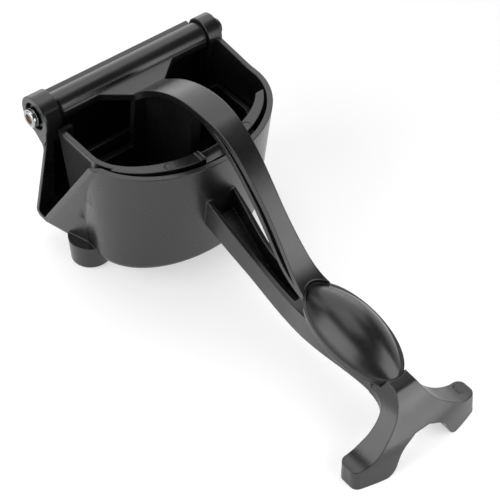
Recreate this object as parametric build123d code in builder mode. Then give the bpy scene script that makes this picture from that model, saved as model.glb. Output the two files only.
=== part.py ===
from build123d import *

import os
from math import atan2, cos, sin, sqrt

os.makedirs("parts", exist_ok=True)

# Hinged lemon squeezer: a bowl casting with its own lower handle and foot, a lift-out strainer
# basket, and a lever with a press cup that swings about one hinge pin.
#
# +X runs from the hinge to the handle end, Y lies along the hinge pin, +Z is up.  The legs and the
# foot stand on z = 0 and the origin is below the middle of the object.  Every x value below is
# measured from the hinge axis; all lengths are in millimetres.

# ---------------------------------------------------------------- hinge
hinge_z = 72.0              # height of the pin axis
ear_overhang = 1.4          # how far each ear stands out past the bowl's rim
ear_thickness = 8.0
ear_radius = 9.0
far_ear_overhang = 0.2      # the ear away from the screw is smaller
far_ear_radius = 7.6
ear_foot_x = 4.6            # lower point of each ear on the side of the bowl
ear_foot_z = 58.6
barrel_radius = 6.1
pin_radius = 3.0
running_clearance = 0.05    # radial gap between the pin and what it passes through
seat_clearance = 0.02       # gap round a part that is pressed or screwed into its seat
bush_wall = 1.2
bush_flange = 0.9           # thickness of the flange between barrel and ear
bush_flange_radius = 5.7
bush_length = 15.0          # sleeve inside the barrel
side_play = 0.3             # gap between a bush flange and its ear
trough_clearance = 2.0      # gap between the barrel and the trough behind it
trough_wall = 2.8
trough_start = 177.0        # angles of the trough round the hinge axis
trough_sweep = 62.0

# ---------------------------------------------------------------- fasteners of the hinge
counterbore_radius = 6.3
counterbore_depth = 3.0
washer_radius = 5.6
washer_thickness = 1.6
screw_head_radius = 4.1
screw_head_length = 4.2
screw_shank_radius = 2.0
screw_shank_length = 16.0
socket_width = 4.0          # across the flats of the hexagon socket
socket_depth = 2.4
pin_head_radius = 3.7
pin_head_length = 3.6
screw_edge = 0.5            # chamfer of the screw's head and of the pin's

# ---------------------------------------------------------------- bowl
rim_z = 69.0
bowl_floor_z = 9.0          # underside of the bowl
bowl_wall = 2.4
bowl_floor = 3.0
round_x = 32.0              # where the straight sides end and the rounded front begins
rear_x = -6.0               # outer face of the rear wall
rim_half_width = 45.8
rim_front = 36.4            # reach of the rounded front at the rim, from round_x
base_half_width = 41.4
base_front = 27.4
bowl_edge_radius = 4.0
rear_corner_radius = 7.0
shoulder_front_x = 30.0     # the wall away from the spout rises from here to the ear
shoulder_rise = 3.6
shoulder_inset = 0.2

# ---------------------------------------------------------------- spout
mouth_base_z = 11.5         # lowest point of the mouth
mouth_top_reach = 0.2       # mouth plane past the bowl's side, at the rim
mouth_base_reach = 6.9      # and past the side of the bowl's floor, at its lowest point
mouth_front_x = 40.0        # front lip meets the rim here
mouth_rear_x = 6.6          # rear lip meets the rim here
mouth_base_front_x = 1.7
mouth_base_rear_x = -7.4
spout_root_front_x = 33.0   # front of the spout where it starts inside the bowl, at the floor
spout_root_rim_x = 46.0     # and at the rim
spout_root_depth = 3.0      # how far inside the bowl wall the spout starts
spout_wall = 2.0
spout_round = 3.0

# ---------------------------------------------------------------- legs
leg_x = 20.2
leg_inset = 2.9             # from the side of the bowl's floor to the middle of a leg
leg_base_radius = 9.0
leg_top_radius = 9.6
leg_edge = 1.2              # chamfer of the leg's lower edge

# ---------------------------------------------------------------- strainer basket
basket_wall = 2.2
flange_side_gap = 0.6       # between the flange and the bowl's wall
flange_front_gap = 3.2
flange_side_width = 2.6     # from the flange's edge to the opening of the basket
flange_front_width = 5.6
basket_rear_x = 9.8
basket_floor_z = 20.0       # underside of the basket
basket_floor = 2.4
basket_lean = 0.075         # inward lean of the side walls
flange_thickness = 2.6
flange_rear_x = 43.5        # the wide flange covers only the front
far_rim_drop = 18.0         # the side away from the spout and the rear wall are lower
rear_post = 4.0             # what is left of the rear wall at the spout side
notch_radius = 5.6
notch_width = 11.0
notch_x = 61.2
notch_above_rim = 2.4       # centre of the finger notch above the rim
notch_pad = 3.0             # extra thickness below the flange at the notch
flange_mark_x = 56.6
flange_mark_y = 20.0
flange_mark_radius = 1.9
flange_mark_depth = 0.2
drain_radius = 1.9
drain_pitch = 6.2
drain_rows = 2
drain_columns = 11
rest_rib_x = 57.4           # inner face of the ribs on the bowl's front wall
rest_rib_y = 20.0
rest_rib_width = 4.0
rest_rib_height = 20.4
floor_rib_x = 18.0
floor_rib_length = 16.0
floor_rib_y = 13.0
floor_rib_width = 3.0
seat_gap = 0.1              # gap between the basket and the ribs that carry it

# ---------------------------------------------------------------- press cup of the lever
cup_side_clearance = 4.2    # between the press cup and the basket
cup_front_clearance = 1.2
cup_top_z = 46.0
cup_floor_z = 26.0
cup_wall = 3.0
cup_rear_x = 13.6
spine_thickness = 5.0
spine_crest = [(50, 89.6), (36, 85), (24, 78.4), (17, 72.6)]
web_rear_half_width = 20.2
backplate_foot_half_width = 12.0
web_top = 1.6               # top of the web above the hinge axis
web_thickness = 3.2
web_front_x = 16.5
web_front_half_width = 7.7
web_rear_x = 6.2

# ---------------------------------------------------------------- arm of the lever
# Side view and half widths, from the web over the crest and down to the palm plate.
arm_top = [(15, 72.8), (24, 79.9), (36, 86.8), (48, 90.6), (60, 91.5), (71, 89.6), (80, 84.9), (90, 76.1),
           (101, 64.2), (111, 52.6), (119, 44.6), (127, 40.3)]
arm_under = [(53, 88.6), (61, 87.6), (69, 83.9), (77, 78.2), (86, 69.4), (95, 58), (105, 45.2), (112, 39.8),
             (120, 37.9), (127, 37.4)]
arm_edge = [(14, 9.4), (19, 6.9), (27, 6.3), (45, 6.3), (60, 6.3), (75, 5.2), (90, 4.4), (102, 3.9),
            (110, 4.4), (118, 5.4), (127, 7)]
arm_flange = 3.0
arm_lower_flange = 2.6
arm_web = 4.6

# ---------------------------------------------------------------- palm rest of the lever
palm_x = 148.4              # middle of the oval
palm_half_length = 25.9
palm_half_width = 12.9
palm_height = 8.2
palm_plate_thickness = 3.0
palm_plate_margin = 0.6
palm_head_z = 40.0          # top of the palm plate at the ends of the oval
palm_tail_z = 31.0
palm_spigot_radius = 3.5
palm_spigot_height = 2.2
handle_gap = 0.4            # between palm plate and lower handle when closed

# ---------------------------------------------------------------- lower handle and foot
# Side view and half widths, from inside the bowl's front wall to the palm plate.
handle_top = [(58, 51.5), (66, 46.8), (79, 40.2), (91, 34.2), (103, 30.8), (116, 29.6), (127, 31.4)]
handle_under = [(58, 34), (72, 29.8), (88, 22.8), (104, 17.8), (120, 16.8), (134, 20.4), (146, 23),
                (158, 23.6), (170, 22.4)]
handle_edge = [(56, 7.4), (68, 7.3), (78, 6.6), (89, 5.5), (98, 5.3), (108, 5.7), (118, 6.5), (128, 8.1),
               (140, 9.6), (152, 9.4), (163, 8.4), (172, 8)]
handle_wall = 2.0
handle_floor = 3.0
handle_trough_rear_x = 65.0
handle_trough_rear_width = 6.3
handle_rest_x = 138.0       # from here the handle follows the palm plate
handle_pad_taper = 17.0     # lean of the pad's flanks under the palm plate, in degrees
neck_x = 168.0              # here the neck of the foot begins
foot_bow_radius = 100.0     # the foot is bowed in plan, with its tips set back
foot_half_span = 32.4
foot_corner_radius = 3.2
foot_crown = [(0, 33.2), (4.6, 32.6), (5.2, 31)]
foot_nose = [(175, 31.9), (177.4, 31.4), (180.1, 30.6), (182.4, 28.5), (184.8, 25), (187.1, 21), (189.3, 17.4),
             (191.2, 14.2), (192.6, 9.6), (193.8, 0)]
foot_rear = [(179.6, 0), (179.6, 13), (178.2, 17.4), (174.6, 20), (168, 22.6)]
foot_arm = [(5.2, 31), (6.3, 28.7), (8.3, 25), (11.4, 21), (14.8, 18), (19, 15), (23.4, 11.9), (27.6, 9.9),
            (32.4, 9.4)]
foot_arch = [(18.6, 0), (14.9, 2.8), (12.3, 9), (8, 13.2), (4.4, 14.9), (0, 15.3)]
foot_flare = [(168, 8.2), (173, 8.2), (176.4, 9.6), (178.6, 13.4), (179.4, 19), (178, 32.4)]
ejector_mark_radius = 3.0
ejector_mark_depth = 0.3
ejector_mark_x = 182.6
ejector_mark_y = 28.6

foot_nose_x = foot_nose[-1][0]
foot_reach = foot_nose_x - foot_bow_radius + sqrt(foot_bow_radius**2 - foot_arch[0][0] ** 2)
hinge_x = (barrel_radius + trough_clearance + trough_wall - foot_reach) / 2
ear_face = rim_half_width + ear_overhang
far_ear_face = rim_half_width + far_ear_overhang
ear_inner = ear_face - ear_thickness
flange_seat_y = ear_inner - side_play - bush_flange
barrel_half_length = flange_seat_y - seat_clearance
bush_bore = pin_radius + running_clearance
bush_radius = bush_bore + bush_wall
barrel_bore = bush_radius + seat_clearance
trough_inner = barrel_radius + trough_clearance
trough_outer = trough_inner + trough_wall
washer_seat_y = ear_face - counterbore_depth
screw_seat_y = washer_seat_y + washer_thickness
pin_end_y = washer_seat_y - 0.6
mouth_top_y = rim_half_width + mouth_top_reach
mouth_base_y = base_half_width + mouth_base_reach
leg_y = base_half_width - leg_inset
flange_z = rim_z - flange_thickness
flange_half_width = rim_half_width - bowl_wall - flange_side_gap
flange_front = rim_front - bowl_wall - flange_front_gap
basket_opening_half_width = flange_half_width - flange_side_width
basket_opening_front = flange_front - flange_front_width
cup_half_width = basket_opening_half_width - cup_side_clearance
cup_front = basket_opening_front - cup_front_clearance

side = Plane(origin=(hinge_x, 0, 0), x_dir=(1, 0, 0), z_dir=(0, -1, 0))
hinge_axis = Axis((hinge_x, 0, hinge_z), (0, 1, 0))
palm_span = (palm_x - 1.5 * palm_half_length, palm_x + 1.5 * palm_half_length)
palm_slope = atan2(palm_head_z - palm_tail_z, 2 * palm_half_length)
palm_plane = Plane(
    origin=(hinge_x + palm_x, 0, (palm_head_z + palm_tail_z) / 2),
    x_dir=(cos(palm_slope), 0, -sin(palm_slope)), z_dir=(sin(palm_slope), 0, cos(palm_slope)))
from_face = (Align.CENTER, Align.CENTER, Align.MIN)
behind_face = (Align.CENTER, Align.CENTER, Align.MAX)


def level(height):
    """Horizontal plane at a height, with its x measured from the hinge."""
    return Plane(origin=(hinge_x, 0, height))


def crosswise(y):
    """Upright plane square to the pin at a y, facing -Y, with its x measured from the hinge."""
    return Plane(origin=(hinge_x, y, 0), x_dir=(1, 0, 0), z_dir=(0, -1, 0))


def facing(x):
    """Upright plane square to X; its own x runs along +Y and its y up."""
    return Plane(origin=(hinge_x + x, 0, 0), x_dir=(0, 1, 0), z_dir=(1, 0, 0))


def d_face(plane, half_width, front, rear):
    """D-shaped face: straight sides, and a half-ellipse round the front."""
    with BuildSketch(plane) as face:
        with BuildLine():
            Polyline((round_x, half_width), (rear, half_width), (rear, -half_width), (round_x, -half_width))
            EllipticalCenterArc((round_x, 0), front, half_width, start_angle=-90, arc_size=180)
        make_face()
    return face.sketch


def palm_plate_z(x):
    """Height of the palm plate's upper face, which slopes down towards the handle end."""
    run = (x - (palm_x - palm_half_length)) / (2 * palm_half_length)
    return palm_head_z + (palm_tail_z - palm_head_z) * run


def smooth_face(plane, upper, lower):
    """Face between an upper and a lower curve, each drawn smoothly through its points."""
    with BuildSketch(plane) as face:
        with BuildLine():
            top = Spline(*upper)
            bottom = Spline(*lower)
            Line(top @ 0, bottom @ 0)
            Line(top @ 1, bottom @ 1)
        make_face()
    return face.sketch


def palm_oval(plane, margin):
    """Oval face of the palm rest, grown outwards by a margin."""
    with BuildSketch(plane) as face:
        with Locations((palm_x, 0)):
            Ellipse(palm_half_length + margin, palm_half_width + margin)
    return face.sketch


def plan_face(edge):
    """Face seen from above between a smooth edge and its mirror image."""
    return smooth_face(level(0), edge, [(x, -y) for x, y in edge])


def shifted(points, distance):
    """Points of a run moved square to it, to the left of its direction when positive."""
    moved = []
    for index, (x, z) in enumerate(points):
        before = points[max(index - 1, 0)]
        after = points[min(index + 1, len(points) - 1)]
        run, rise = after[0] - before[0], after[1] - before[1]
        length = sqrt(run * run + rise * rise)
        moved.append((x - distance * rise / length, z + distance * run / length))
    return moved


def bar(profile, outline):
    """Solid that has one face as its side view and the other as its plan view."""
    return extrude(profile, amount=ear_face, both=True) & extrude(outline, amount=2 * hinge_z)


def swung(half_width, front, rear, floor_z, top_z, lean):
    """D-shaped cup whose front wall is curved round the hinge axis and whose sides lean in."""
    sweep = revolve(d_face(level(hinge_z), half_width, front, rear), axis=hinge_axis, revolution_arc=90)
    sections = [
        d_face(level(height), half_width - lean * (rim_z - height), front, rear)
        for height in (floor_z, top_z)]
    return sweep & loft(sections=sections)


def spout_face(plane, front_x, top_front_x, inset, height):
    """Upright four-sided face of the spout, rounded at its two lower corners."""
    with BuildSketch(plane) as face:
        with BuildLine():
            Polyline(
                (mouth_base_rear_x + inset, inset), (front_x - inset, inset),
                (top_front_x - inset, height + inset), (mouth_rear_x + inset, height + inset),
                close=True)
        make_face()
        base_width = front_x - mouth_base_rear_x - 2 * inset
        fillet(face.vertices().group_by(Axis.Y)[0], min(spout_round - inset / 2, 0.49 * base_width))
    return face.sketch


def spout_faces(inset, reach):
    """Faces that the spout is lofted between: one inside the bowl, one at or just past its mouth."""
    root_y = base_half_width - spout_root_depth
    root = Plane(origin=(hinge_x, -root_y, bowl_floor_z), x_dir=(1, 0, 0), z_dir=(0, -1, 0))
    mouth_height = rim_z - mouth_base_z
    lean = atan2(mouth_base_y - mouth_top_y, mouth_height)
    mouth = Plane(
        origin=(hinge_x, -mouth_base_y - reach, mouth_base_z), x_dir=(1, 0, 0),
        z_dir=(0, -cos(lean), sin(lean)))
    # the front wall keeps its slant where the spout is carried on past the mouth
    slant = (mouth_base_front_x - spout_root_front_x) / (mouth_base_y - root_y)
    return [
        spout_face(root, spout_root_front_x, spout_root_rim_x, inset, rim_z - bowl_floor_z),
        spout_face(mouth, mouth_base_front_x + slant * reach, mouth_front_x, inset, mouth_height / cos(lean))]


# ---------------------------------------------------------------- lower handle
handle_rest = [
    (x, palm_plate_z(x) - palm_plate_thickness - handle_gap) for x in (handle_rest_x, palm_x, neck_x)]
handle_side = smooth_face(side, handle_top + handle_rest, handle_under)
handle_bar = bar(handle_side, plan_face(handle_edge))
handle_pad = extrude(handle_side, amount=ear_face, both=True) & extrude(
    palm_oval(level(palm_plate_z(palm_x)), 0), amount=-hinge_z / 4, taper=handle_pad_taper)

trough_run = handle_under[:6]
trough_edge = [(handle_trough_rear_x, handle_trough_rear_width)] + [
    (x, width - handle_wall) for x, width in handle_edge[2:7]]
trough_bar = bar(
    smooth_face(side, [(x, z + hinge_z) for x, z in trough_run], shifted(trough_run, handle_floor)),
    plan_face(trough_edge))
handle_solid = handle_bar + handle_pad - trough_bar
palm_room = bar(
    smooth_face(side, [(x, hinge_z) for x in palm_span],
                [(x, palm_plate_z(x) - palm_plate_thickness - handle_gap) for x in palm_span]),
    palm_oval(level(0), palm_plate_margin + handle_gap))

# ---------------------------------------------------------------- anchor-shaped foot
with BuildPart() as foot:
    # side view, with neck and nose, bowed in plan round an upright axis behind the foot
    with BuildSketch(side):
        with BuildLine():
            top = Line((neck_x, palm_plate_z(neck_x)), foot_nose[0])
            nose = Spline(*foot_nose)
            Polyline(nose @ 1, *foot_rear, top @ 0)
        make_face()
    bow_axis = Axis((hinge_x + foot_nose_x - foot_bow_radius, 0, 0), (0, 0, 1))
    revolve(axis=bow_axis, revolution_arc=25)
    mirror(about=Plane.XZ)

    # front view: flared arms over the arch
    with BuildSketch(facing(neck_x)):
        with BuildLine():
            crown = Polyline(*foot_crown)
            arm = Spline(*foot_arm)
            arch = Spline(*foot_arch, tangents=((-1, 0.3), (-1, 0)))
            Polyline(arm @ 1, (foot_half_span, 0), arch @ 0)
            Line(arch @ 1, crown @ 0)
        make_face()
        mirror(about=Plane.YZ)
    extrude(amount=foot_reach, mode=Mode.INTERSECT)

    # plan view: narrow neck that flares into the arms
    with BuildSketch(level(0)):
        with BuildLine():
            flare = Spline(*foot_flare[:-1])
            Polyline(flare @ 1, foot_flare[-1], (foot_nose_x + 1, foot_half_span),
                     (foot_nose_x + 1, 0), (neck_x, 0), flare @ 0)
        make_face()
        mirror(about=Plane.XZ)
    extrude(amount=hinge_z, mode=Mode.INTERSECT)
    tips = [
        edge for edge in foot.edges()
        if abs(edge.center().Y) > foot_half_span - 0.1 and edge.bounding_box().size.Z > foot_corner_radius]
    fillet(tips, foot_corner_radius)
    with Locations((hinge_x + ejector_mark_x, ejector_mark_y, foot_arm[-2][1])):
        Cylinder(ejector_mark_radius, 2 * ejector_mark_depth, mode=Mode.SUBTRACT)

# ---------------------------------------------------------------- hollow of the bowl
with BuildPart() as bowl_hollow:
    loft(sections=[
        d_face(level(bowl_floor_z + bowl_floor), base_half_width - bowl_wall, base_front - bowl_wall,
               rear_x + bowl_wall),
        d_face(level(rim_z + 1), rim_half_width - bowl_wall, rim_front - bowl_wall, rear_x + bowl_wall)])
    # two ribs on the front wall stay standing to carry the flange of the basket
    for rib_y in (-rest_rib_y, rest_rib_y):
        with BuildSketch(crosswise(rib_y)):
            with BuildLine():
                Polyline((rest_rib_x, flange_z - seat_gap), (rest_rib_x, flange_z - rest_rib_height / 2),
                         (rest_rib_x + 3, flange_z - rest_rib_height),
                         (round_x + rim_front, flange_z - rest_rib_height),
                         (round_x + rim_front, flange_z - seat_gap), close=True)
            make_face()
        extrude(amount=rest_rib_width / 2, both=True, mode=Mode.SUBTRACT)
    # two ribs on the floor stay standing under the basket
    rib_height = basket_floor_z - seat_gap
    for rib_y in (-floor_rib_y, floor_rib_y):
        with Locations((hinge_x + floor_rib_x, rib_y, rib_height / 2)):
            Box(floor_rib_length, floor_rib_width, rib_height, mode=Mode.SUBTRACT)

# ---------------------------------------------------------------- body casting
with BuildPart() as body_casting:
    # bowl, from rim to floor
    loft(sections=[
        d_face(level(bowl_floor_z), base_half_width, base_front, rear_x),
        d_face(level(rim_z), rim_half_width, rim_front, rear_x)])
    rear_edges = body_casting.faces().sort_by(Axis.X)[0].edges().sort_by(Axis.Y)
    fillet([rear_edges[0], rear_edges[-1]], rear_corner_radius)
    fillet(body_casting.faces().sort_by(Axis.Z)[0].edges(), bowl_edge_radius)

    # spout on the -Y side
    loft(sections=spout_faces(0, 0))

    # legs
    for leg_side in (-1, 1):
        with BuildSketch(level(0)):
            with Locations((leg_x, leg_side * leg_y)):
                Circle(leg_base_radius)
        with BuildSketch(level(bowl_floor_z + bowl_edge_radius)):
            with Locations((leg_x, leg_side * leg_y)):
                Circle(leg_top_radius)
        loft()
    chamfer(body_casting.faces().filter_by(Axis.Z).group_by(Axis.Z)[0].edges(), leg_edge)

    # lower handle with its open trough, and the foot
    add(handle_solid)
    add(foot.part)
    add(palm_room, mode=Mode.SUBTRACT)

    # hollow of the bowl and of the spout
    add(bowl_hollow.part, mode=Mode.SUBTRACT)
    loft(sections=spout_faces(spout_wall, 0.4), mode=Mode.SUBTRACT)

    # trough behind the barrel
    with BuildSketch(side):
        with BuildLine():
            outer = CenterArc((0, hinge_z), trough_outer, trough_start, trough_sweep)
            inner = CenterArc((0, hinge_z), trough_inner - 1, trough_start, trough_sweep)
            Line(outer @ 0, inner @ 0)
            Line(outer @ 1, inner @ 1)
        make_face()
    extrude(amount=ear_inner + 1, both=True)

    # ears, rounded over the hinge and drawn to a point on the side of the bowl
    for ear_side, face_y, radius in ((-1, ear_face, ear_radius), (1, far_ear_face, far_ear_radius)):
        with BuildSketch(crosswise(ear_side * (ear_inner + face_y) / 2)):
            with Locations((0, hinge_z)):
                Circle(radius)
            with BuildLine():
                Polyline((-0.93 * radius, hinge_z - 0.36 * radius), (ear_foot_x, ear_foot_z),
                         (0.82 * radius, ear_foot_z + 5), (0.95 * radius, hinge_z), close=True)
            make_face()
        extrude(amount=(face_y - ear_inner) / 2, both=True)
    # shoulder of the wall that rises to the smaller ear
    with BuildSketch(crosswise(rim_half_width - shoulder_inset)):
        with BuildLine():
            Polyline((0, rim_z - 1), (shoulder_front_x, rim_z - 1), (shoulder_front_x, rim_z),
                     (0, rim_z + shoulder_rise), close=True)
        make_face()
    extrude(amount=bowl_wall - shoulder_inset)
    with Locations(side):
        with Locations((0, hinge_z)):
            Cylinder(trough_inner, 2 * ear_inner, mode=Mode.SUBTRACT)
            Cylinder(bush_bore, 3 * ear_face, mode=Mode.SUBTRACT)
    with Locations(crosswise(-ear_face)):
        with Locations((0, hinge_z)):
            Cylinder(counterbore_radius, 2 * counterbore_depth, mode=Mode.SUBTRACT)

body_casting.part.label = "body_casting"
export_step(body_casting.part, "parts/body_casting.step")

# ---------------------------------------------------------------- strainer basket
basket_body = swung(
    basket_opening_half_width + basket_wall, basket_opening_front + basket_wall, basket_rear_x,
    basket_floor_z, rim_z, basket_lean)
basket_hollow = swung(
    basket_opening_half_width, basket_opening_front, basket_rear_x + basket_wall,
    basket_floor_z + basket_floor, rim_z + 1, basket_lean)

flange_face = d_face(level(flange_z), flange_half_width, flange_front, basket_rear_x)

with BuildPart() as strainer_basket:
    # wide flange, only round the front, with a thicker pad below the finger notch
    extrude(flange_face, amount=flange_thickness)
    split(bisect_by=facing(flange_rear_x), keep=Keep.TOP)
    pad_length = round_x + flange_front - notch_x + notch_radius
    with Locations((hinge_x + round_x + flange_front - 0.5 - pad_length / 2, 0, flange_z)):
        Box(pad_length, notch_width + 4, 2 * notch_pad)
    add(basket_body)
    add(basket_hollow, mode=Mode.SUBTRACT)

    # the rear wall and the side away from the spout stop lower
    with Locations((hinge_x + flange_rear_x / 2, flange_half_width / 2, rim_z)):
        Box(flange_rear_x, flange_half_width, 2 * far_rim_drop, mode=Mode.SUBTRACT)
    with Locations((hinge_x + basket_rear_x, 0, rim_z)):
        Box(2 * basket_wall + 1, 2 * (basket_opening_half_width - rear_post), 2 * far_rim_drop,
            mode=Mode.SUBTRACT)

    # two round ejector marks
    for mark_y in (-flange_mark_y, flange_mark_y):
        with Locations((hinge_x + flange_mark_x, mark_y, rim_z)):
            Cylinder(flange_mark_radius, 2 * flange_mark_depth, mode=Mode.SUBTRACT)

    # scoop for a fingertip
    with Locations(side):
        with Locations((notch_x, rim_z + notch_above_rim)):
            Cylinder(notch_radius, notch_width, mode=Mode.SUBTRACT)

    # drain holes in the floor
    drain_x = basket_rear_x + basket_wall + drain_pitch
    with Locations((hinge_x + drain_x, 0, basket_floor_z)):
        with GridLocations(drain_pitch, drain_pitch, drain_rows, drain_columns):
            Cylinder(drain_radius, 3 * basket_floor, mode=Mode.SUBTRACT)

strainer_basket.part.label = "strainer_basket"
export_step(strainer_basket.part, "parts/strainer_basket.step")

# ---------------------------------------------------------------- lever casting
arm_plan = plan_face(arm_edge)
arm_top_flange = bar(smooth_face(side, arm_top, shifted(arm_top, -arm_flange)), arm_plan)
arm_bottom_flange = bar(smooth_face(side, shifted(arm_under, arm_lower_flange), arm_under), arm_plan)
arm_middle = extrude(
    smooth_face(side, shifted(arm_top, -arm_flange / 2)[4:], shifted(arm_under, arm_lower_flange / 2)[1:]),
    amount=arm_web / 2, both=True)
palm_plate = bar(
    smooth_face(side, [(x, palm_plate_z(x)) for x in palm_span],
                [(x, palm_plate_z(x) - palm_plate_thickness) for x in palm_span]),
    palm_oval(level(0), palm_plate_margin))
palm_recess = bar(
    smooth_face(side, [(x, palm_plate_z(x) + palm_height) for x in palm_span],
                [(x, palm_plate_z(x)) for x in palm_span]),
    palm_oval(level(0), seat_clearance))
cup_shell = swung(cup_half_width, cup_front, cup_rear_x, cup_floor_z, cup_top_z, 0) - swung(
    cup_half_width - cup_wall, cup_front - cup_wall, cup_rear_x + cup_wall, cup_floor_z + cup_wall,
    cup_top_z + 1, 0)

with BuildPart() as lever_casting:
    # barrel round the hinge pin
    with Locations(side):
        with Locations((0, hinge_z)):
            Cylinder(barrel_radius, 2 * barrel_half_length)

    # flat web that narrows from the barrel to the arm
    with BuildSketch(level(hinge_z + web_top)):
        with BuildLine():
            Polyline((4, web_rear_half_width), (web_rear_x, web_rear_half_width),
                     (web_front_x, web_front_half_width), (web_front_x, -web_front_half_width),
                     (web_rear_x, -web_rear_half_width), (4, -web_rear_half_width), close=True)
        make_face()
    extrude(amount=-web_thickness)

    # arm: two flanges joined by a thin middle, so both of its sides are grooved
    add(arm_top_flange)
    add(arm_bottom_flange)
    add(arm_middle)

    # press cup, with the back plate and the spine that carry it
    add(cup_shell)
    plate_top = hinge_z + web_top - web_thickness / 2
    with BuildSketch(facing(cup_rear_x)):
        with BuildLine():
            Polyline((web_front_half_width, plate_top), (backplate_foot_half_width, cup_floor_z + cup_wall),
                     (-backplate_foot_half_width, cup_floor_z + cup_wall), (-web_front_half_width, plate_top),
                     close=True)
        make_face()
    extrude(amount=cup_wall)
    with BuildSketch(side):
        with BuildLine():
            Polyline((cup_rear_x + 1, plate_top), (cup_rear_x + 1, cup_floor_z + cup_wall / 2),
                     (round_x, cup_floor_z + cup_wall / 2), (46, cup_top_z - 6), *spine_crest,
                     close=True)
        make_face()
    extrude(amount=spine_thickness / 2, both=True)

    # sloping oval plate under the palm cap, with a blind hole for the cap's spigot
    add(palm_plate)
    with Locations(palm_plane):
        Cylinder(palm_spigot_radius + seat_clearance, 2 * (palm_spigot_height + seat_clearance),
                 mode=Mode.SUBTRACT)

    # the arm stops at the edge of the cap
    add(palm_recess, mode=Mode.SUBTRACT)

    # bore for the two bushes
    with Locations(side):
        with Locations((0, hinge_z)):
            Cylinder(barrel_bore, 3 * barrel_half_length, mode=Mode.SUBTRACT)

lever_casting.part.label = "lever_casting"
export_step(lever_casting.part, "parts/lever_casting.step")

# ---------------------------------------------------------------- palm cap
# an arc turned about an axis below the plate gives the long domed form
spindle_depth = (palm_half_width**2 - palm_height**2) / (2 * palm_height)
spindle_end = palm_half_length / cos(palm_slope)
with BuildPart() as palm_cap:
    with BuildSketch(Plane(origin=palm_plane.origin, x_dir=palm_plane.x_dir, z_dir=(0, -1, 0))):
        with BuildLine():
            crest = ThreePointArc((-spindle_end, 0), (0, palm_height), (spindle_end, 0))
            Polyline(crest @ 1, (spindle_end, -spindle_depth), (-spindle_end, -spindle_depth), crest @ 0)
        make_face()
    spindle_axis = Axis(palm_plane.origin - palm_plane.z_dir * spindle_depth, palm_plane.x_dir)
    revolve(axis=spindle_axis)
    split(bisect_by=palm_plane, keep=Keep.TOP)
    with BuildSketch(palm_plane):
        Circle(palm_spigot_radius)
    extrude(amount=-palm_spigot_height)

palm_cap.part.label = "palm_cap"
export_step(palm_cap.part, "parts/palm_cap.step")

# ---------------------------------------------------------------- hinge pin
with BuildPart() as hinge_pin:
    with Locations(crosswise(far_ear_face + pin_head_length)):
        with Locations((0, hinge_z)):
            Cylinder(pin_head_radius, pin_head_length - seat_clearance, align=from_face)
            Cylinder(pin_radius, pin_head_length + far_ear_face + pin_end_y, align=from_face)
    chamfer(hinge_pin.edges().filter_by(GeomType.CIRCLE).group_by(Axis.Y)[-1], screw_edge)
    # hole for the screw
    with Locations(crosswise(-pin_end_y)):
        with Locations((0, hinge_z)):
            Cylinder(screw_shank_radius + seat_clearance, 2 * screw_shank_length, mode=Mode.SUBTRACT)

hinge_pin.part.label = "hinge_pin"
export_step(hinge_pin.part, "parts/hinge_pin.step")

# ---------------------------------------------------------------- washer in the counterbore
with BuildPart() as screw_washer:
    with Locations(crosswise(-washer_seat_y - seat_clearance)):
        with Locations((0, hinge_z)):
            Cylinder(washer_radius, washer_thickness - seat_clearance, align=from_face)
            Cylinder(screw_shank_radius + running_clearance, 3 * washer_thickness, mode=Mode.SUBTRACT)

screw_washer.part.label = "screw_washer"
export_step(screw_washer.part, "parts/screw_washer.step")

# ---------------------------------------------------------------- screw in the end of the pin
with BuildPart() as pivot_screw:
    with Locations(crosswise(-screw_seat_y - seat_clearance)):
        with Locations((0, hinge_z)):
            Cylinder(screw_head_radius, screw_head_length, align=from_face)
            Cylinder(screw_shank_radius, screw_shank_length, align=behind_face)
    chamfer(pivot_screw.edges().filter_by(GeomType.CIRCLE).group_by(Axis.Y)[0], screw_edge)
    with BuildSketch(crosswise(-screw_seat_y - seat_clearance - screw_head_length)):
        with Locations((0, hinge_z)):
            RegularPolygon(socket_width / 2, 6, major_radius=False)
    extrude(amount=-socket_depth, mode=Mode.SUBTRACT)

pivot_screw.part.label = "pivot_screw"
export_step(pivot_screw.part, "parts/pivot_screw.step")

# ---------------------------------------------------------------- flanged bushes in the barrel
with BuildPart() as barrel_bush_left:
    with Locations(crosswise(-flange_seat_y)):
        with Locations((0, hinge_z)):
            Cylinder(bush_flange_radius, bush_flange, align=from_face)
            Cylinder(bush_radius, bush_length, align=behind_face)
            Cylinder(bush_bore, 3 * bush_length, mode=Mode.SUBTRACT)

barrel_bush_left.part.label = "barrel_bush_left"
export_step(barrel_bush_left.part, "parts/barrel_bush_left.step")

with BuildPart() as barrel_bush_right:
    mirror(barrel_bush_left.part, about=Plane.XZ)

barrel_bush_right.part.label = "barrel_bush_right"
export_step(barrel_bush_right.part, "parts/barrel_bush_right.step")
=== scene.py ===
"""Looks of a hinged lemon squeezer: coated castings, a glossy palm cap, and the small hinge hardware."""

import logging
import math
from dataclasses import dataclass, field
from enum import Enum
from typing import Any, Iterable, Sequence

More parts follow.
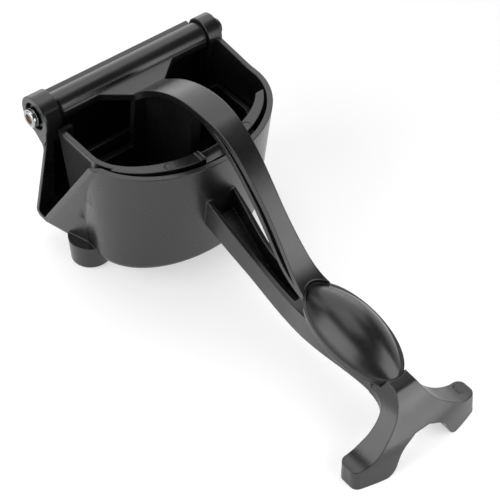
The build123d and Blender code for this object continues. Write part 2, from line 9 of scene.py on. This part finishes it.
import bmesh
import bpy
import numpy as np
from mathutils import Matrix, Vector


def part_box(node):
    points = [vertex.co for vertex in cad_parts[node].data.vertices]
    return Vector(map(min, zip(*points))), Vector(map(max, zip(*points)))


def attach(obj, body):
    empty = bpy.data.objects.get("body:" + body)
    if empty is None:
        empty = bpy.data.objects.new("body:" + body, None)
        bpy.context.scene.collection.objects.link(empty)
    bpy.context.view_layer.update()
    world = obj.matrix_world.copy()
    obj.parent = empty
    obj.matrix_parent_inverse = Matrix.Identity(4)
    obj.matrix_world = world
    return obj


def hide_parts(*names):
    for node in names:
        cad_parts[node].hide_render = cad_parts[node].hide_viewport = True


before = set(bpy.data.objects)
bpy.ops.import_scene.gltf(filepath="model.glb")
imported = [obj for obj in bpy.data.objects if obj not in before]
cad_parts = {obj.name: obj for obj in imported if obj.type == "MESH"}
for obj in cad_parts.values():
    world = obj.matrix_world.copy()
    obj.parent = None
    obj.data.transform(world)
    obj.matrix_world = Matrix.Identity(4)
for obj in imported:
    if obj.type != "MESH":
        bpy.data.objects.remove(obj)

LOG = logging.getLogger("squeezer")
MM = 0.001
CREASE_DEGREES = 30.0  # edges sharper than this stay sharp in the shading
WELD = 1e-8  # points closer than this, in metres, become one
Array = np.ndarray
Colour = tuple[float, float, float, float]


class Body(Enum):
    """The two rigid bodies of the squeezer."""

    BASE = "base"
    LEVER = "lever"


def linear(code: str) -> Colour:
    """Turn an sRGB hex colour into linear values.

    Each channel c in 0..1 is c / 12.92 below 0.04045, and ((c + 0.055) / 1.055) to the power 2.4 above it.

    Args:
        code: Colour as "#rrggbb".

    Returns:
        Linear red, green, blue and an alpha of 1.
    """
    channels = [int(code[i : i + 2], 16) / 255 for i in (1, 3, 5)]
    red, green, blue = (c / 12.92 if c <= 0.04045 else ((c + 0.055) / 1.055) ** 2.4 for c in channels)
    return red, green, blue, 1.0


def add_node(
    tree: bpy.types.NodeTree,
    kind: str,
    settings: dict[str, Any] | None = None,
    inputs: dict[Any, Any] | None = None,
) -> bpy.types.Node:
    """Add a shader node with its settings, constants and links.

    Args:
        tree: Node tree that gets the node.
        kind: Blender's name of the node type.
        settings: Attributes to set on the node.
        inputs: For each input name or index, a constant, or an output socket to link from.

    Returns:
        The new node.
    """
    made = tree.nodes.new(kind)
    for name, value in (settings or {}).items():
        setattr(made, name, value)
    for name, value in (inputs or {}).items():
        if isinstance(value, bpy.types.NodeSocket):
            tree.links.new(value, made.inputs[name])
        else:
            made.inputs[name].default_value = value
    return made


def new_material(name: str) -> tuple[bpy.types.Material, bpy.types.NodeTree, bpy.types.Node]:
    """Make an empty node material.

    Args:
        name: Name of the material.

    Returns:
        The material, its tree and its output node.
    """
    made = bpy.data.materials.new(name)
    made.use_nodes = True
    tree = made.node_tree
    tree.nodes.clear()
    return made, tree, tree.nodes.new("ShaderNodeOutputMaterial")


def grid_piece(
    name: str,
    rings: Array,
    body: Body,
    materials: Sequence[bpy.types.Material],
    ring_material: Array | None = None,
) -> bpy.types.Object:
    """Make a closed piece from rings of points.

    Ring k and ring k + 1 are joined by four-sided faces that wrap round. The first and the last ring are closed
    by one face each, or are welded together where they are the same ring. Faces are turned outwards.

    Args:
        name: Name of the piece.
        rings: Points in metres, as ring, place in the ring, and x, y, z.
        body: Body that the piece rides on.
        materials: Its materials.
        ring_material: For each gap between two rings, the number of its material.

    Returns:
        The new object.
    """
    count, around = rings.shape[:2]
    place = np.arange(count * around).reshape(count, around)
    ahead = np.roll(place, -1, axis=1)
    quads = np.stack([place[:-1], ahead[:-1], ahead[1:], place[1:]], axis=-1).reshape(-1, 4)
    welded = np.array_equal(rings[0], rings[-1])
    ends = [] if welded else [place[0][::-1], place[-1]]
    loops = np.concatenate([quads.ravel(), *ends])
    sizes = np.concatenate([np.full(len(quads), 4), np.full(len(ends), around)])
    mesh = bpy.data.meshes.new(name)
    mesh.vertices.add(count * around)
    mesh.vertices.foreach_set("co", rings.ravel())
    mesh.loops.add(len(loops))
    mesh.loops.foreach_set("vertex_index", loops)
    mesh.polygons.add(len(sizes))
    mesh.polygons.foreach_set("loop_start", np.concatenate([[0], np.cumsum(sizes)[:-1]]))
    mesh.polygons.foreach_set("loop_total", sizes)
    for material in materials:
        mesh.materials.append(material)
    if ring_material is not None:
        sides = np.repeat(ring_material, around)
        mesh.polygons.foreach_set("material_index", np.concatenate([sides, ring_material[[0, -1]]])[: len(sizes)])
    mesh.update(calc_edges=True)
    mesh.validate()
    shell = bmesh.new()
    shell.from_mesh(mesh)
    bmesh.ops.remove_doubles(shell, verts=shell.verts, dist=WELD)
    bmesh.ops.recalc_face_normals(shell, faces=shell.faces)
    shell.to_mesh(mesh)
    shell.free()
    mesh.shade_smooth()
    mesh.set_sharp_from_angle(angle=math.radians(CREASE_DEGREES))
    made = bpy.data.objects.new(name, mesh)
    bpy.context.scene.collection.objects.link(made)
    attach(made, body.value)
    LOG.info("%s has %d faces", name, len(sizes))
    return made


def rounded(
    corners: Sequence[tuple[float, float]], radius: float | Sequence[float], steps: int = 5
) -> Array:
    """Round the inner corners of an open outline.

    Each corner gives way to a curve through the two points that lie one radius before and after it: the
    quadratic (1-t)^2 A + 2t(1-t) C + t^2 B with the corner as C.

    Args:
        corners: Points of the outline.
        radius: How far before and after the corner the curve starts and ends, for all or for each corner.
        steps: Pieces of each curve.

    Returns:
        The points of the rounded outline.
    """
    points = np.array(corners, float)
    t = np.linspace(0, 1, steps + 1)[:, None]
    before, corner, after = points[:-2], points[1:-1], points[2:]
    reach = np.broadcast_to(np.asarray(radius, float), len(corner))
    start = corner + (before - corner) * (reach / np.linalg.norm(before - corner, axis=1))[:, None]
    end = corner + (after - corner) * (reach / np.linalg.norm(after - corner, axis=1))[:, None]
    curves = [(1 - t) ** 2 * a + 2 * t * (1 - t) * c + t**2 * b for a, c, b in zip(start, corner, end)]
    return np.concatenate([points[:1], *curves, points[-1:]])


@dataclass(frozen=True)
class PaintedShadeBox:
    """Box of painted shade, where the coat's reflection is cut down to dead black, in millimetres from a point of
    the table below the middle of the pin.
    """

    low: tuple[float, float, float]
    high: tuple[float, float, float]
    soft_mm: float

    def mask(self, tree: bpy.types.NodeTree, place: bpy.types.NodeSocket, hinge_x: float) -> bpy.types.NodeSocket:
        """Add nodes for a painted shade mask that is 1 inside the box and falls to 0 at its faces.

        The value is smoothstep of the depth below the nearest face over the soft width, where the depth is minus
        the largest component of |p - middle| - half.

        Args:
            tree: Node tree of the material.
            place: Socket with Object coordinates.
            hinge_x: Place of the hinge axis along X, in metres.

        Returns:
            Socket with the mask.
        """
        low, high = (Vector(corner) * MM + Vector((hinge_x, 0, 0)) for corner in (self.low, self.high))
        away = add_node(tree, "ShaderNodeVectorMath", {"operation": "SUBTRACT"}, {0: place, 1: (low + high) / 2})
        size = add_node(tree, "ShaderNodeVectorMath", {"operation": "ABSOLUTE"}, {0: away.outputs[0]})
        over = add_node(tree, "ShaderNodeVectorMath", {"operation": "SUBTRACT"}, {
            0: size.outputs[0], 1: (high - low) / 2})
        axes = add_node(tree, "ShaderNodeSeparateXYZ", {}, {0: over.outputs[0]})
        pair = add_node(tree, "ShaderNodeMath", {"operation": "MAXIMUM"}, {0: axes.outputs[0], 1: axes.outputs[1]})
        most = add_node(tree, "ShaderNodeMath", {"operation": "MAXIMUM"}, {0: pair.outputs[0], 1: axes.outputs[2]})
        return add_node(tree, "ShaderNodeMapRange", {"interpolation_type": "SMOOTHSTEP"}, {
            "Value": most.outputs[0], "From Min": -self.soft_mm * MM, "From Max": 0.0,
            "To Min": 1.0, "To Max": 0.0}).outputs["Result"]


@dataclass(frozen=True)
class SatinCoat:
    """Baked black epoxy coat on die-cast aluminium, sprayed on.

    The eye sees near black with a broad soft sheen. The sprayed film is slightly uneven, like fine orange peel,
    and rounds every cast edge, which then carries a thin pale line of light. In the painted shade boxes the
    reflection is cut down so that the coat renders dead black there, as painted shade; the coat itself is the same
    there. In order, these boxes are the upper part of the basket's outer wall in the spout, the front of the near
    ear, the basket's near rear post, and the lower part of that wall.
    """

    hinge_x: float = 0.0
    # painted shade: roughness and specular level of the coat inside the shade boxes
    painted_shade_roughness: float = 0.6
    painted_shade_level: float = 0.06
    full_level: float = 0.5
    # painted shade boxes, where the coat's reflection is cut down to paint dead black shade
    painted_shade_boxes: tuple[PaintedShadeBox, ...] = (
        PaintedShadeBox((6.0, -44.8, 42.0), (34.5, -35.0, 68.6), 2.6),
        PaintedShadeBox((1.0, -47.0, 48.0), (14.0, -36.0, 78.0), 1.1),
        PaintedShadeBox((8.0, -38.9, 55.0), (15.0, -28.0, 71.0), 0.4),
        PaintedShadeBox((6.0, -44.8, 28.0), (26.0, -35.0, 47.0), 2.0),
    )

    name: str = "black_epoxy_coat_on_cast_aluminium"
    colour: str = "#0b0b0c"
    worn_colour: str = "#101011"
    roughness: float = 0.29
    roughness_spread: float = 0.04
    peel_mm: float = 1.4
    peel_height_mm: float = 0.012
    edge_mm: float = 0.75

    def material(self) -> bpy.types.Material:
        """Build the material.

        Returns:
            The node material of the coat.
        """
        made, tree, out = new_material(self.name)
        place = add_node(tree, "ShaderNodeTexCoord").outputs["Object"]
        # uneven film: blotches about 12 mm across shift tone and sheen a little
        blotch = add_node(tree, "ShaderNodeTexNoise", {}, {
            "Vector": place, "Scale": 1 / (12 * MM), "Detail": 3.0, "Roughness": 0.5})
        tone = add_node(tree, "ShaderNodeMix", {"data_type": "RGBA"}, {
            "Factor": blotch.outputs["Fac"], "A": linear(self.colour), "B": linear(self.worn_colour)})
        sheen = add_node(tree, "ShaderNodeMapRange", {}, {
            "Value": blotch.outputs["Fac"], "From Min": 0.3, "From Max": 0.7,
            "To Min": self.roughness - self.roughness_spread, "To Max": self.roughness + self.roughness_spread})
        # painted shade boxes: the largest of the masks
        painted_shade_mask = self.painted_shade_boxes[0].mask(tree, place, self.hinge_x)
        for shade_box in self.painted_shade_boxes[1:]:
            painted_shade_mask = add_node(tree, "ShaderNodeMath", {"operation": "MAXIMUM"}, {
                0: painted_shade_mask, 1: shade_box.mask(tree, place, self.hinge_x)}).outputs[0]
        # painted shade: inside the boxes the coat turns rough with almost no reflection, so it renders dead black
        rough = add_node(tree, "ShaderNodeMix", {}, {
            "Factor": painted_shade_mask, "A": sheen.outputs["Result"], "B": self.painted_shade_roughness})
        level = add_node(tree, "ShaderNodeMix", {}, {
            "Factor": painted_shade_mask, "A": self.full_level, "B": self.painted_shade_level})
        # orange peel: soft bumps of about the film's drop size
        peel = add_node(tree, "ShaderNodeTexNoise", {}, {
            "Vector": place, "Scale": 1 / (self.peel_mm * MM), "Detail": 1.0, "Roughness": 0.4})
        edge = add_node(tree, "ShaderNodeBevel", {"samples": 6}, {"Radius": self.edge_mm * MM})
        bump = add_node(tree, "ShaderNodeBump", {}, {
            "Height": peel.outputs["Fac"], "Strength": 0.6, "Distance": self.peel_height_mm * MM,
            "Normal": edge.outputs["Normal"]})
        shader = add_node(tree, "ShaderNodeBsdfPrincipled", {}, {
            "Base Color": tone.outputs[2], "Roughness": rough.outputs[0], "IOR": 1.6,
            "Specular IOR Level": level.outputs[0], "Normal": bump.outputs["Normal"]})
        tree.links.new(shader.outputs["BSDF"], out.inputs["Surface"])
        return made


@dataclass(frozen=True)
class GlossCoat:
    """Second, glossier coat on the palm cap, polished before it is coated.

    The eye sees deeper black than on the castings, with longer and crisper highlights.
    """

    name: str = "gloss_black_coat_on_palm_cap"
    colour: str = "#09090a"
    roughness: float = 0.31
    coat: float = 0.15
    coat_roughness: float = 0.22
    peel_mm: float = 2.2
    peel_height_mm: float = 0.008

    def material(self) -> bpy.types.Material:
        """Build the material.

        Returns:
            The node material of the gloss coat.
        """
        made, tree, out = new_material(self.name)
        place = add_node(tree, "ShaderNodeTexCoord").outputs["Object"]
        peel = add_node(tree, "ShaderNodeTexNoise", {}, {
            "Vector": place, "Scale": 1 / (self.peel_mm * MM), "Detail": 1.0})
        sheen = add_node(tree, "ShaderNodeMapRange", {}, {
            "Value": peel.outputs["Fac"], "From Min": 0.3, "From Max": 0.7,
            "To Min": self.roughness - 0.03, "To Max": self.roughness + 0.03})
        bump = add_node(tree, "ShaderNodeBump", {}, {
            "Height": peel.outputs["Fac"], "Strength": 0.5, "Distance": self.peel_height_mm * MM})
        shader = add_node(tree, "ShaderNodeBsdfPrincipled", {}, {
            "Base Color": linear(self.colour), "Roughness": sheen.outputs["Result"], "IOR": 1.5,
            "Coat Weight": self.coat, "Coat Roughness": self.coat_roughness, "Normal": bump.outputs["Normal"]})
        tree.links.new(shader.outputs["BSDF"], out.inputs["Surface"])
        return made


@dataclass(frozen=True)
class TurnedMetal:
    """Turned steel, plated or blackened, with a fine grain.

    The eye sees bright and dark bands with slightly broken edges.
    """

    name: str = "chromed_steel"
    colour: str = "#a7a9ac"
    roughness: float = 0.15
    grain_mm: float = 0.35
    grain_height_mm: float = 0.004

    def material(self) -> bpy.types.Material:
        """Build the material.

        Returns:
            The node material of the metal.
        """
        made, tree, out = new_material(self.name)
        place = add_node(tree, "ShaderNodeTexCoord").outputs["Object"]
        grain = add_node(tree, "ShaderNodeTexNoise", {}, {
            "Vector": place, "Scale": 1 / (self.grain_mm * MM), "Detail": 2.0})
        sheen = add_node(tree, "ShaderNodeMapRange", {}, {
            "Value": grain.outputs["Fac"], "From Min": 0.3, "From Max": 0.7,
            "To Min": 0.8 * self.roughness, "To Max": 1.3 * self.roughness})
        bump = add_node(tree, "ShaderNodeBump", {}, {
            "Height": grain.outputs["Fac"], "Strength": 0.4, "Distance": self.grain_height_mm * MM})
        shader = add_node(tree, "ShaderNodeBsdfPrincipled", {}, {
            "Base Color": linear(self.colour), "Metallic": 1.0, "Roughness": sheen.outputs["Result"],
            "Normal": bump.outputs["Normal"]})
        tree.links.new(shader.outputs["BSDF"], out.inputs["Surface"])
        return made


@dataclass(frozen=True)
class MouldedBush:
    """Natural black acetal of the two flanged bushes, moulded, with a dull even sheen."""

    name: str = "black_moulded_acetal"
    colour: str = "#1c1c1d"
    roughness: float = 0.5

    def material(self) -> bpy.types.Material:
        """Build the material.

        Returns:
            The node material of the plastic.
        """
        made, tree, out = new_material(self.name)
        place = add_node(tree, "ShaderNodeTexCoord").outputs["Object"]
        grain = add_node(tree, "ShaderNodeTexNoise", {}, {"Vector": place, "Scale": 1 / (0.6 * MM), "Detail": 2.0})
        bump = add_node(tree, "ShaderNodeBump", {}, {
            "Height": grain.outputs["Fac"], "Strength": 0.5, "Distance": 0.01 * MM})
        shader = add_node(tree, "ShaderNodeBsdfPrincipled", {}, {
            "Base Color": linear(self.colour), "Roughness": self.roughness, "IOR": 1.48,
            "Normal": bump.outputs["Normal"]})
        tree.links.new(shader.outputs["BSDF"], out.inputs["Surface"])
        return made


def dress(names: Iterable[str], material: bpy.types.Material) -> None:
    """Give CAD nodes a material.

    Args:
        names: Names of the nodes.
        material: Material for all of their slots.
    """
    for name in names:
        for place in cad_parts[name].material_slots:
            place.material = material
        LOG.info("%s wears %s", name, material.name)


@dataclass
class Castings:
    """The three coated castings: bowl with handle and foot, strainer basket, and lever with press cup."""

    nodes: tuple[str, ...] = ("body_casting", "strainer_basket", "lever_casting")
    finish: SatinCoat = field(default_factory=SatinCoat)

    def build(self) -> bpy.types.Material:
        """Dress the castings.

        Returns:
            Their material.
        """
        coat = self.finish.material()
        dress(self.nodes, coat)
        return coat


@dataclass
class PalmRest:
    """The domed cap set on the end of the lever."""

    node: str = "palm_cap"
    finish: GlossCoat = field(default_factory=GlossCoat)

    def build(self) -> None:
        """Dress the palm cap."""
        dress([self.node], self.finish.material())


@dataclass
class Barrel:
    """Ledge along the front of the lever's barrel, as thick as the web that it runs into.

    The barrel ends where the bush's flange begins.
    """

    coat: bpy.types.Material
    flange_mm: float = 0.9
    half_thickness_mm: float = 1.6
    root_mm: float = 4.5
    reach_mm: float = 7.0
    edge_mm: float = 0.3
    end_taper: float = 0.4
    end_gap_mm: float = 0.1

    def build(self, axis: Vector, half_length: float) -> None:
        """Sweep the ledge along the barrel.

        Its section is a rectangle with rounded front edges: x from the root to the reach, z from minus to plus
        half the thickness, both measured from the pin's axis. The rings are this section at four places along Y.
        The outer two are scaled about their middle by 1 - end_taper * edge / half thickness.

        Args:
            axis: Middle of the pin's axis.
            half_length: Half of the barrel's length, in metres.
        """
        thick = self.half_thickness_mm
        outline = rounded([(self.root_mm, thick), (self.reach_mm, thick), (self.reach_mm, -thick),
                           (self.root_mm, -thick)], self.edge_mm) * MM
        middle = outline.mean(axis=0)
        shrink = 1 - self.end_taper * self.edge_mm / self.half_thickness_mm * np.array([1, 0, 0, 1])
        end = half_length - self.end_gap_mm * MM
        along = np.array([-end, -end + self.edge_mm * MM, end - self.edge_mm * MM, end])
        section = middle + (outline - middle)[None] * shrink[:, None, None]
        rings = np.stack([
            axis.x + section[..., 0], np.broadcast_to(along[:, None], section.shape[:2]), axis.z + section[..., 1],
        ], axis=-1)
        grid_piece("barrel_ledge", rings, Body.LEVER, [self.coat])


@dataclass
class HingeHardware:
    """Pin, screw, washer and bushes on the hinge axis."""

    chrome: TurnedMetal = field(default_factory=TurnedMetal)
    # steel inside the socket: its warm brownish colour is a painted reflection of something warm nearby
    socket_steel: TurnedMetal = field(default_factory=lambda: TurnedMetal(
        name="socket_steel_with_painted_warm_reflection", colour="#a89a8c", roughness=0.45))
    black_steel: TurnedMetal = field(default_factory=lambda: TurnedMetal(
        name="black_oxide_steel", colour="#4a4b4d", roughness=0.34))
    bush: MouldedBush = field(default_factory=MouldedBush)
    around: int = 96
    head_length_mm: float = 4.2
    shank_radius_mm: float = 2.0
    socket_width_mm: float = 4.5
    socket_depth_mm: float = 1.5
    socket_lead_mm: float = 0.25
    socket_tip_mm: float = 0.5
    tip_share: float = 0.05
    shank_end_mm: float = 0.2
    head_edge_mm: float = 0.8
    groove_mm: float = 0.3
    groove_place: float = 0.42
    washer_bore_mm: float = 2.15
    washer_edge_mm: float = 0.35

    def turned(self, radius: Array, along: Array, axis: Vector) -> Array:
        """Turn a profile about the pin's axis.

        Point j of ring k is (r cos t, y, r sin t) from the axis, with t = 2 pi j / around.

        Args:
            radius: Radius of each ring, or of each point of each ring, in metres.
            along: Place of each ring along Y, in metres.
            axis: Point on the axis.

        Returns:
            Rings of points.
        """
        turn = 2 * np.pi * np.arange(self.around) / self.around
        reach = np.broadcast_to(radius.reshape(len(along), -1), (len(along), self.around))
        return np.stack([
            axis.x + reach * np.cos(turn), np.broadcast_to(along[:, None], reach.shape),
            axis.z + reach * np.sin(turn),
        ], axis=-1)

    def screw(self, axis: Vector) -> None:
        """Make the cap screw with its hexagon socket.

        The socket's radius at angle t is half the width across flats divided by the cosine of t's distance from
        the middle of the nearest flat, so the corners of the hexagon fall on points of the ring.

        Args:
            axis: Point on the pin's axis.
        """
        low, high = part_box("pivot_screw")
        head = (high.x - low.x) / 2
        turn = 2 * np.pi * np.arange(self.around) / self.around
        flat = self.socket_width_mm / 2 * MM / np.cos((turn % (np.pi / 3)) - np.pi / 6)
        whole = np.ones(self.around)
        edge, lead = self.head_edge_mm * MM, self.socket_lead_mm * MM
        groove, middle = self.groove_mm * MM, low.y + self.groove_place * self.head_length_mm * MM
        profile = rounded([
            (flat.max() + lead, low.y), (head, low.y), (head, middle), (head - groove, middle),
            (head - groove, middle + groove), (head, middle + groove), (head, low.y + self.head_length_mm * MM),
            (self.shank_radius_mm * MM, low.y + self.head_length_mm * MM), (self.shank_radius_mm * MM, high.y),
            (self.shank_end_mm * MM, high.y)], (edge, *(groove / 3,) * 4, edge / 4, edge / 4, edge))
        floor = low.y + self.socket_depth_mm * MM
        inner = np.stack([self.tip_share * flat, flat, flat, np.full_like(flat, flat.max())])
        depth = np.array([floor + self.socket_tip_mm * MM, floor, low.y + 0.3 * lead, low.y + 0.1 * lead])
        radius = np.concatenate([inner, profile[:, :1] * whole])
        along = np.concatenate([depth, profile[:, 1]])
        # the socket's floor and walls take the second material, whose brownish colour is a painted warm reflection
        sides = np.where(np.arange(len(along) - 1) < 2, 1, 0)
        made = grid_piece("cap_screw", self.turned(radius, along, axis), Body.BASE,
                          [self.chrome.material(), self.socket_steel.material()], sides)
        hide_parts("pivot_screw")

    def washer(self, axis: Vector, steel: bpy.types.Material) -> None:
        """Make the washer with its rounded edges, a ring whose section is turned about the pin's axis.

        Args:
            axis: Point on the pin's axis.
            steel: Its material.
        """
        low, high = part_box("screw_washer")
        outer, bore = (high.x - low.x) / 2, self.washer_bore_mm * MM
        middle = (outer + bore) / 2
        profile = rounded([
            (middle, low.y), (outer, low.y), (outer, high.y), (bore, high.y), (bore, low.y), (middle, low.y),
        ], self.washer_edge_mm * MM)
        rings = self.turned(profile[:, :1], profile[:, 1], axis)
        made = grid_piece("flat_washer", rings, Body.BASE, [steel])
        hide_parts("screw_washer")

    def build(self, axis: Vector) -> None:
        """Make or dress the hardware.

        Args:
            axis: Middle of the pin's axis.
        """
        self.screw(axis)
        steel = self.black_steel.material()
        self.washer(axis, steel)
        dress(["hinge_pin"], steel)
        dress(["barrel_bush_left", "barrel_bush_right"], self.bush.material())


@dataclass(frozen=True)
class SoftBox:
    """One rectangular soft light that faces a point of the object.

    Its direction is given as seen from that point: an azimuth from +X towards +Y, and an elevation.
    """

    name: str
    azimuth: float
    elevation: float
    distance: float
    width: float
    height: float
    radiance: float
    aim: tuple[float, float, float] = (0.0, 0.0, 0.03)

    def hang(self) -> None:
        """Hang the light, unseen by the camera. Its power is the radiance times pi times its area."""
        aim = Vector(self.aim)
        data = bpy.data.lights.new(self.name, "AREA")
        data.shape, data.size, data.size_y = "RECTANGLE", self.width, self.height
        data.energy = self.radiance * math.pi * self.width * self.height
        lamp = bpy.data.objects.new(self.name, data)
        lamp.location = aim + direction(self.azimuth, self.elevation) * self.distance
        lamp.rotation_euler = (aim - lamp.location).to_track_quat("-Z", "Y").to_euler()
        lamp.visible_camera = False
        bpy.context.scene.collection.objects.link(lamp)


def direction(azimuth: float, elevation: float) -> Vector:
    """Unit vector (cos a cos e, sin a cos e, sin e).

    Args:
        azimuth: Angle a from +X towards +Y, in degrees.
        elevation: Angle e above the table, in degrees.

    Returns:
        The unit vector.
    """
    a, e = math.radians(azimuth), math.radians(elevation)
    return Vector((math.cos(a) * math.cos(e), math.sin(a) * math.cos(e), math.sin(e)))


@dataclass
class Studio:
    """White table in a room with pale walls and a dim ceiling, four soft boxes, and the camera."""

    target_mm: tuple[float, float, float] = (84.5, -0.5, 30.0)
    azimuth: float = -38.95
    elevation: float = 46.09
    distance_mm: float = 670.0
    lens_mm: float = 115.5
    wall: float = 0.9
    ceiling: float = 0.12
    fade: tuple[float, float] = (9.0, 16.0)
    table_side: float = 4.0
    table_glow: float = 0.5
    boxes: tuple[SoftBox, ...] = (
        SoftBox("wide_box_behind", 150.0, 32.0, 1.3, 2.2, 1.5, 1.45),
        SoftBox("box_overhead", 150.0, 78.0, 1.3, 0.8, 0.8, 2.0),
        SoftBox("card_at_foot", 22.0, 20.0, 0.17, 0.20, 0.19, 3.3, (0.06, 0.0, 0.04)),
        SoftBox("box_at_spout", -100.0, 32.0, 0.55, 0.6, 0.5, 3.2),
    )

    def table(self) -> None:
        """Lay a large white table that looks white and keeps the object's shadow."""
        made, tree, out = new_material("white_table")
        path = add_node(tree, "ShaderNodeLightPath")
        straight = add_node(tree, "ShaderNodeMath", {"operation": "MAXIMUM"}, {
            0: path.outputs["Is Camera Ray"], 1: path.outputs["Is Glossy Ray"]})
        seen = add_node(tree, "ShaderNodeMath", {"operation": "MAXIMUM"}, {
            0: straight.outputs[0], 1: path.outputs["Is Transmission Ray"]})
        card = add_node(tree, "ShaderNodeBsdfPrincipled", {}, {
            "Base Color": linear("#bebebe"), "Roughness": 0.9, "Specular IOR Level": 0.1})
        glow = add_node(tree, "ShaderNodeEmission", {}, {"Color": linear("#ffffff"), "Strength": self.table_glow})
        both = add_node(tree, "ShaderNodeAddShader", {}, {0: card.outputs["BSDF"], 1: glow.outputs["Emission"]})
        pick = add_node(tree, "ShaderNodeMixShader", {}, {
            "Fac": seen.outputs[0], 1: card.outputs["BSDF"], 2: both.outputs["Shader"]})
        tree.links.new(pick.outputs["Shader"], out.inputs["Surface"])
        mesh = bpy.data.meshes.new("table")
        corners = self.table_side * np.array([[-1, -1, 0], [1, -1, 0], [1, 1, 0], [-1, 1, 0]])
        mesh.from_pydata(corners.tolist(), [], [[0, 1, 2, 3]])
        mesh.materials.append(made)
        table = bpy.data.objects.new("table", mesh)
        bpy.context.scene.collection.objects.link(table)

    def room(self) -> None:
        """Set the world: pale near the horizon, fading to a dim ceiling between the two angles of `fade`."""
        world = bpy.data.worlds.new("room")
        world.use_nodes = True
        tree = world.node_tree
        tree.nodes.clear()
        way = add_node(tree, "ShaderNodeTexCoord").outputs["Generated"]
        up = add_node(tree, "ShaderNodeSeparateXYZ", {}, {0: way}).outputs["Z"]
        level = add_node(tree, "ShaderNodeMapRange", {"interpolation_type": "SMOOTHSTEP"}, {
            "Value": up, "From Min": math.sin(math.radians(self.fade[0])),
            "From Max": math.sin(math.radians(self.fade[1])),
            "To Min": self.wall, "To Max": self.ceiling})
        glow = add_node(tree, "ShaderNodeBackground", {}, {
            "Color": linear("#ffffff"), "Strength": level.outputs["Result"]})
        add_node(tree, "ShaderNodeOutputWorld", {}, {"Surface": glow.outputs["Background"]})
        bpy.context.scene.world = world

    def camera(self, hinge_x: float) -> None:
        """Place the camera.

        The place is the target plus the distance along (cos a cos e, sin a cos e, sin e).

        Args:
            hinge_x: Place of the hinge axis along X, in metres.
        """
        target = Vector(self.target_mm) * MM + Vector((hinge_x, 0, 0))
        back = direction(self.azimuth, self.elevation)
        data = bpy.data.cameras.new("camera")
        data.lens, data.sensor_width, data.clip_start = self.lens_mm, 36.0, 0.01
        camera = bpy.data.objects.new("camera", data)
        camera.location = target + back * self.distance_mm * MM
        camera.rotation_mode = "QUATERNION"
        camera.rotation_quaternion = (-back).to_track_quat("-Z", "Y")
        bpy.context.scene.collection.objects.link(camera)
        bpy.context.scene.camera = camera

    def build(self, hinge_x: float) -> None:
        """Set up table, room, lights and camera.

        Args:
            hinge_x: Place of the hinge axis along X, in metres.
        """
        self.table()
        self.room()
        for box in self.boxes:
            box.hang()
        self.camera(hinge_x)
        bpy.context.scene.view_settings.view_transform = "Standard"


def main() -> None:
    """Build the studio and every sub-assembly in order."""
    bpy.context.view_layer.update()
    low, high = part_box("hinge_pin")
    axis = (low + high) / 2
    Studio().build(axis.x)
    coat = Castings(finish=SatinCoat(hinge_x=axis.x)).build()
    PalmRest().build()
    Barrel(coat).build(axis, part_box("barrel_bush_right")[1].y - Barrel.flange_mm * MM)
    HingeHardware().build(axis)


if __name__ == "__main__":
    logging.basicConfig(level=logging.INFO)
    main()
